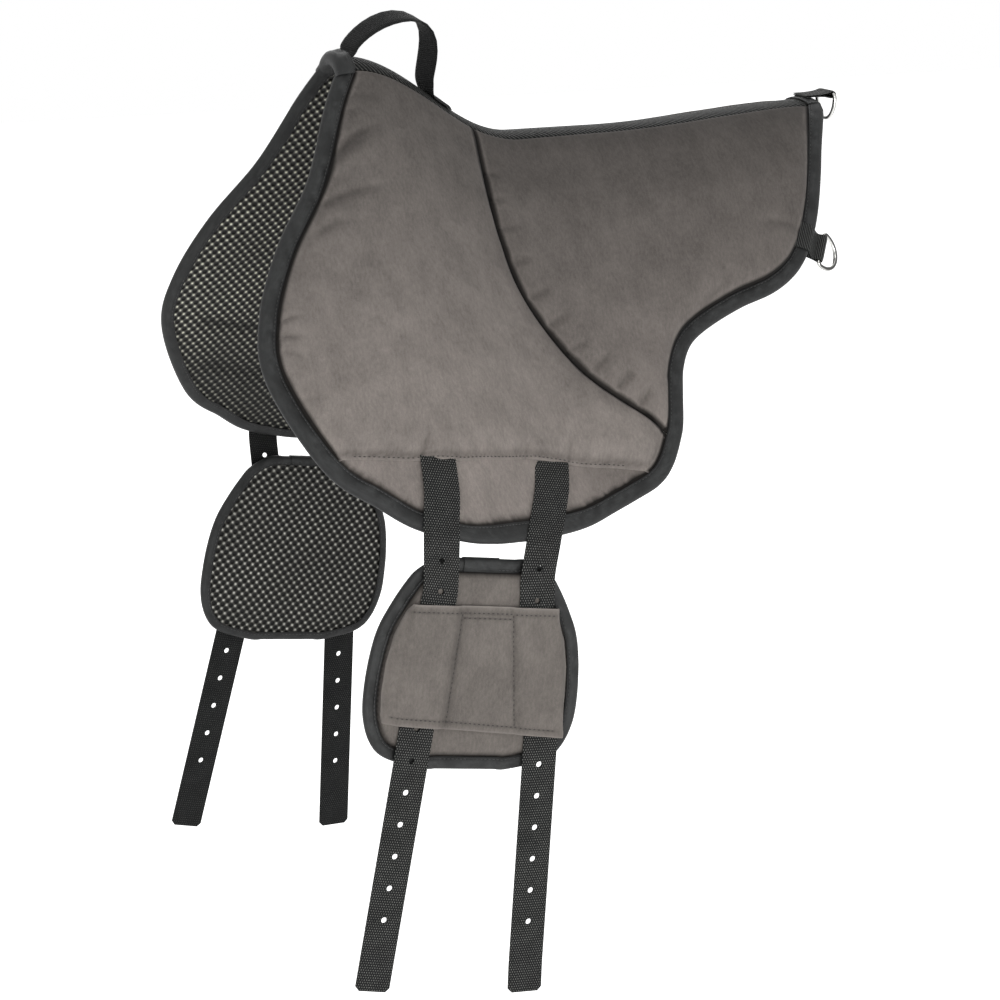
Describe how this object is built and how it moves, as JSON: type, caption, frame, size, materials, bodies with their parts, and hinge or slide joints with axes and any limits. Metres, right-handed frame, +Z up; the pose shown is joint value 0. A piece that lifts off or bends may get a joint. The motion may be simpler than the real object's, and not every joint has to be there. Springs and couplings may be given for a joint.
{
  "type": "bareback pad",
  "caption": "Bareback pad with two padded suede flaps over a spine webbing, a grab handle, mesh lining, bound rims, punched girth billets through buckle guards, and D-rings at the rear.",
  "frame": {"origin": "on the underside of the pad at the middle of the spine, where the pad lies on the horse's back", "axes": "+X towards the horse's rear, +Z up, and the near side of the horse at -Y"},
  "size_m": [0.591, 0.4646, 0.7956],
  "materials": {
    "suede": "warm grey synthetic suede with a short nap",
    "binding_tape": "matt black folded tape",
    "webbing": "black woven webbing",
    "spacer_mesh": "open spacer mesh, silver grey on black",
    "foam": "soft foam inside the covers",
    "chromed_steel": "polished wire"
  },
  "bodies": {
    "spine": {"spine_webbing": "webbing", "gullet_lining": "spacer_mesh", "pommel_binding": "binding_tape", "cantle_binding": "binding_tape", "grab_handle": "webbing", "crupper_tab": "webbing"},
    "near_flap": {"near_mesh_lining": "spacer_mesh", "near_front_foam": "foam", "near_front_panel": "suede", "near_seat_foam": "foam", "near_seat_panel": "suede", "near_skirt": "suede", "near_binding": "binding_tape", "near_rear_tab": "webbing"},
    "near_billets": {"near_front_billet": "webbing", "near_rear_billet": "webbing"},
    "near_guard": {"near_guard_mesh": "spacer_mesh", "near_guard_foam": "foam", "near_guard_face": "suede", "near_guard_binding": "binding_tape", "near_guard_sleeve": "suede"},
    "near_ring_link": {"near_ring": "chromed_steel"},
    "off_flap": {"off_mesh_lining": "spacer_mesh", "off_front_foam": "foam", "off_front_panel": "suede", "off_seat_foam": "foam", "off_seat_panel": "suede", "off_skirt": "suede", "off_binding": "binding_tape", "off_rear_tab": "webbing"},
    "off_billets": {"off_front_billet": "webbing", "off_rear_billet": "webbing"},
    "off_guard": {"off_guard_mesh": "spacer_mesh", "off_guard_foam": "foam", "off_guard_face": "suede", "off_guard_binding": "binding_tape", "off_guard_sleeve": "suede"},
    "off_ring_link": {"off_ring": "chromed_steel"},
    "crupper_ring_link": {"crupper_ring": "chromed_steel"}
  },
  "joints": [
    {"name": "near_flap_fold", "type": "hinge", "parent": "spine", "child": "near_flap", "pos_m": [-0.23896, -0.02236, 0.06695], "axis": [-0.9941, -0.0039, 0.1084], "range_deg": [0, 15]},
    {"name": "near_billets_swing", "type": "hinge", "parent": "near_flap", "child": "near_billets", "pos_m": [-0.22172, -0.1841, -0.23366], "axis": [-0.9807, -0.0812, 0.1777], "range_deg": [0, 75]},
    {"name": "near_guard_slide", "type": "slide", "parent": "near_billets", "child": "near_guard", "axis": [-0.1303, -0.0354, -0.9908], "range_m": [-0.004, 0.025]},
    {"name": "near_ring_swing", "type": "hinge", "parent": "near_flap", "child": "near_ring_link", "pos_m": [0.17898, -0.09889, -0.1008], "axis": [0.4723, 0.4732, 0.7437], "range_deg": [-60, 60]},
    {"name": "off_flap_fold", "type": "hinge", "parent": "spine", "child": "off_flap", "pos_m": [-0.23896, 0.02236, 0.06695], "axis": [0.9941, -0.0039, -0.1084], "range_deg": [0, 15]},
    {"name": "off_billets_swing", "type": "hinge", "parent": "off_flap", "child": "off_billets", "pos_m": [-0.22172, 0.1841, -0.23366], "axis": [0.9807, -0.0812, -0.1777], "range_deg": [0, 75]},
    {"name": "off_guard_slide", "type": "slide", "parent": "off_billets", "child": "off_guard", "axis": [-0.1303, 0.0354, -0.9908], "range_m": [-0.004, 0.025]},
    {"name": "off_ring_swing", "type": "hinge", "parent": "off_flap", "child": "off_ring_link", "pos_m": [0.17898, 0.09889, -0.1008], "axis": [-0.4723, 0.4732, -0.7437], "range_deg": [-60, 60]},
    {"name": "crupper_ring_swing", "type": "hinge", "parent": "spine", "child": "crupper_ring_link", "pos_m": [0.2375, 0, 0.02094], "axis": [0, 1, 0], "range_deg": [-95, 35]}
  ]
}
